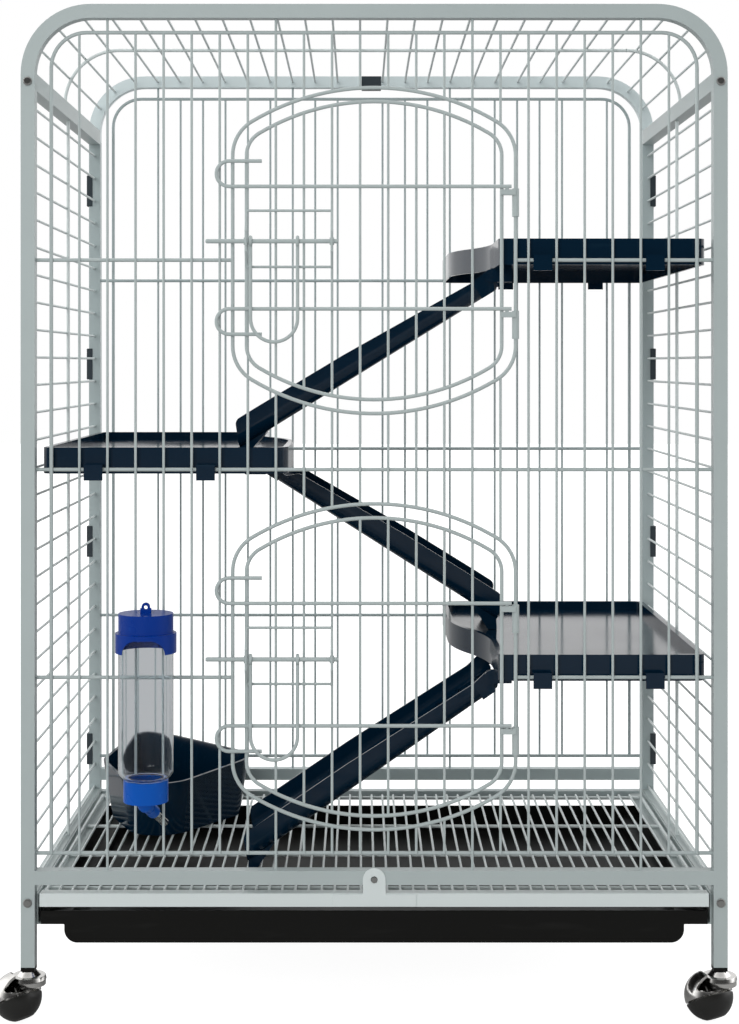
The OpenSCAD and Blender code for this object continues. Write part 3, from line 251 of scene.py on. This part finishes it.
def moulded_skin():
    """Moulded plastic: fine grain, soft flow marks in the gloss and long faint scuffs."""
    group, values, out, place = skin_group("moulded_skin", ("Body", "Scuff"))
    link = group.links.new
    grain = texture(group, "ShaderNodeTexNoise", place, 1100, 3)
    link(grain.outputs["Fac"], out.inputs["Height"])
    flow = texture(group, "ShaderNodeTexNoise", place, 9, 4)
    gloss = remap(group, flow.outputs["Fac"], 0.3, 0.7, values.outputs["Low"], values.outputs["High"])
    link(gloss, out.inputs["Roughness"])
    stretch = group.nodes.new("ShaderNodeMapping")
    stretch.inputs["Scale"].default_value = (14, 260, 90)
    stretch.inputs["Rotation"].default_value = (0, 0, math.radians(9))
    link(place, stretch.inputs["Vector"])
    scuffs = texture(group, "ShaderNodeTexNoise", stretch.outputs["Vector"], 1, 2)
    scuff_mask = remap(group, scuffs.outputs["Fac"], 0.62, 0.78, 0, 0.5)
    mix_colours(group, scuff_mask, values.outputs["Body"], values.outputs["Scuff"], out.inputs["Color"])
    return group


moulded = moulded_skin()
navy, tree, shader = plain_material("navy_polypropylene")
skin_onto(tree, shader, moulded, 0.04, 0.0001, Body=(0.001, 0.012, 0.028, 1),
          Scuff=(0.006, 0.024, 0.044, 1), Low=0.1, High=0.17)
shader.inputs["Specular IOR Level"].default_value = 0.3
for level in ("top", "middle", "low"):
    made_from(level + "_platform", navy, 0.7 * mm)
for level in ("top", "middle", "low"):
    made_from(level + "_ramp", navy, 0.5 * mm)

# ---- Base ----
# A pull-out grate of coated wire with a tube front bar and a stamped lock tab, over a vacuum
# formed black tray that slides on ledges riveted inside the legs.

# The grate, bar and lock tab take the paler wire coat, painted light.
for node in ("floor_grid", "grid_bar", "grid_lock_tab"):
    made_from(node, wire_painted_light_coat, {"grid_bar": tube_round, "grid_lock_tab": pressed_round}.get(node, 0))
tray_black, tree, shader = plain_material("tray_polystyrene")
skin_onto(tree, shader, moulded, 0.2, 0.0002, Body=(0.007, 0.007, 0.0065, 1),
          Scuff=(0.016, 0.016, 0.015, 1), Low=0.3, High=0.42)
shader.inputs["Specular IOR Level"].default_value = 0.14
made_from("tray", tray_black, 0.6 * mm)

# ---- Litter pan ----
# Thin-walled navy moulding with flared walls that lean back from a low front.

made_from("litter_pan", navy, 0.8 * mm, crease=40)

# ---- Water bottle ----
# Clear blow-moulded bottle in a blue clip-on bracket, with a ribbed screw cap and a steel
# sipper tube closed by a ball.

blues = (("blue_polyethylene", (0.0002, 0.03, 0.24, 1), (0.004, 0.06, 0.32, 1),
          ("bottle_bracket", "bottle_clamp_nut")),
         ("blue_cap", (0.0002, 0.08, 0.42, 1), (0.005, 0.12, 0.5, 1), ("bottle_cap",)))
for name, body, scuff, nodes in blues:
    blue, tree, shader = plain_material(name)
    skin_onto(tree, shader, moulded, 0.1, 0.0001, Body=body, Scuff=scuff, Low=0.22, High=0.32)
    shader.inputs["Specular IOR Level"].default_value = 0.2
    for node in nodes:
        made_from(node, blue, 0.5 * mm)
clear, tree, shader = plain_material("clear_bottle")
shader.inputs["Base Color"].default_value = (0.96, 0.98, 1, 1)
shader.inputs["Transmission Weight"].default_value = 1.0
shader.inputs["IOR"].default_value = 1.2
shader.inputs["Roughness"].default_value = 0.05
made_from("water_bottle", clear)
steel, tree, shader = plain_material("polished_steel")
skin_onto(tree, shader, powder, 0.05, 0.0001, Coat=(0.72, 0.71, 0.69, 1),
          Cloud=(0.6, 0.59, 0.57, 1), Low=0.1, High=0.22)
shader.inputs["Metallic"].default_value = 1.0
made_from("sipper_tube", steel)
made_from("sipper_ball", steel)

# ---- Casters ----
# Ball casters: a plastic plug in the leg, two plated swivel plates, a plated hood and a domed
# black wheel that rolls on a tilted axle.

made_from("leg_plugs", tray_black, pressed_round)
made_from("caster_cups", steel, pressed_round)
wheel_black, tree, shader = plain_material("wheel_plastic")
skin_onto(tree, shader, moulded, 0.2, 0.0002, Body=(0.01, 0.01, 0.009, 1),
          Scuff=(0.03, 0.03, 0.03, 1), Low=0.3, High=0.42)
for corner in ("fl", "fr", "bl", "br"):
    made_from("caster_hood_" + corner, steel, pressed_round)
    made_from("caster_wheel_" + corner, wheel_black, 0.8 * mm, 3)

# ---- Studio ----
# Pale floor under a white room that is darker behind the camera, with one large soft light
# far before the front left.

floor_bm = bmesh.new()
bmesh.ops.create_grid(floor_bm, x_segments=1, y_segments=1, size=12)
floor_mesh = bpy.data.meshes.new("studio_floor")
floor_bm.to_mesh(floor_mesh)
floor_bm.free()
floor = bpy.data.objects.new("studio_floor", floor_mesh)
bpy.context.scene.collection.objects.link(floor)
paper, tree, shader = plain_material("paper_floor")
shader.inputs["Base Color"].default_value = (0.3, 0.3, 0.3, 1)
shader.inputs["Roughness"].default_value = 0.9
shader.inputs["Emission Color"].default_value = (1, 1, 1, 1)
# The paper looks white to the camera and throws little light back under the cage.
eye = tree.nodes.new("ShaderNodeLightPath")
glow = remap(tree, eye.outputs["Is Camera Ray"], 0, 1, 0.08, 0.93)
tree.links.new(glow, shader.inputs["Emission Strength"])
floor_mesh.materials.append(paper)

# The room glows from behind the cage, from both sides and from above, by direction; the camera
# itself sees it evenly white.
world = bpy.data.worlds.new("studio_room")
bpy.context.scene.world = world
world.use_nodes = True
room_tree = world.node_tree
room_tree.nodes.clear()
place = room_tree.nodes.new("ShaderNodeTexCoord")
split = room_tree.nodes.new("ShaderNodeSeparateXYZ")
room_tree.links.new(place.outputs["Generated"], split.inputs["Vector"])


def room_math(operation, *parts):
    node = room_tree.nodes.new("ShaderNodeMath")
    node.operation = operation
    for part, socket in zip(parts, node.inputs):
        room_tree.links.new(part, socket)
    return node.outputs["Value"]


aside = room_math("ABSOLUTE", split.outputs["X"])
back_glow = remap(room_tree, split.outputs["Y"], -0.5, 0.1, 0.06, 0.95)
side_glow = room_math("MULTIPLY", remap(room_tree, aside, 0.5, 0.9, 0, 1.1),
                      remap(room_tree, split.outputs["Y"], -0.65, 0, 0.1, 1))
top_glow = remap(room_tree, split.outputs["Z"], 0.4, 0.9, 0, 0.5)
brightness = room_math("ADD", back_glow, room_math("ADD", side_glow, top_glow))
room = room_tree.nodes.new("ShaderNodeBackground")
room_tree.links.new(brightness, room.inputs["Strength"])
backdrop = room_tree.nodes.new("ShaderNodeBackground")
backdrop.inputs["Strength"].default_value = 1.0
for light in (room, backdrop):
    light.inputs["Color"].default_value = (1, 1, 1, 1)
seen = room_tree.nodes.new("ShaderNodeLightPath")
mix = room_tree.nodes.new("ShaderNodeMixShader")
room_tree.links.new(seen.outputs["Is Camera Ray"], mix.inputs["Fac"])
room_tree.links.new(room.outputs["Background"], mix.inputs[1])
room_tree.links.new(backdrop.outputs["Background"], mix.inputs[2])
out = room_tree.nodes.new("ShaderNodeOutputWorld")
room_tree.links.new(mix.outputs["Shader"], out.inputs["Surface"])

light = bpy.data.lights.new("front_soft_light", "AREA")
light.size = 2.6
light.energy = 130
lamp = bpy.data.objects.new("front_soft_light", light)
bpy.context.scene.collection.objects.link(lamp)
lamp.location = (-1.2, -4.6, 1.6)
lamp_aim = Vector((0, 0, 0.4))
lamp.rotation_euler = (lamp_aim - lamp.location).to_track_quat("-Z", "Y").to_euler()
lamp.visible_glossy = False
lamp.visible_camera = False

# The camera stands level, 1.7 m before the cage, a little above its middle. Its sight point is
# where it looks straight ahead, in pixels of the image.
camera_data = bpy.data.cameras.new("studio_camera")
camera = bpy.data.objects.new("studio_camera", camera_data)
bpy.context.scene.collection.objects.link(camera)
bpy.context.scene.camera = camera
image_w, image_h = 739, 1024
sight_x, sight_y = 360, 364
camera_data.lens = 65.77
camera_data.sensor_width = 36
eye_height = 0.594
eye_distance = 1.693
camera_data.shift_x = (image_w / 2 - sight_x) / image_h
camera_data.shift_y = -(image_h / 2 - sight_y) / image_h
camera_data.clip_end = 60
front_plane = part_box("front_posts")[0].y
camera.location = (-0.01285, front_plane - eye_distance, eye_height)
camera.rotation_euler = (math.radians(90), 0, 0)
bpy.context.scene.view_settings.view_transform = "Standard"
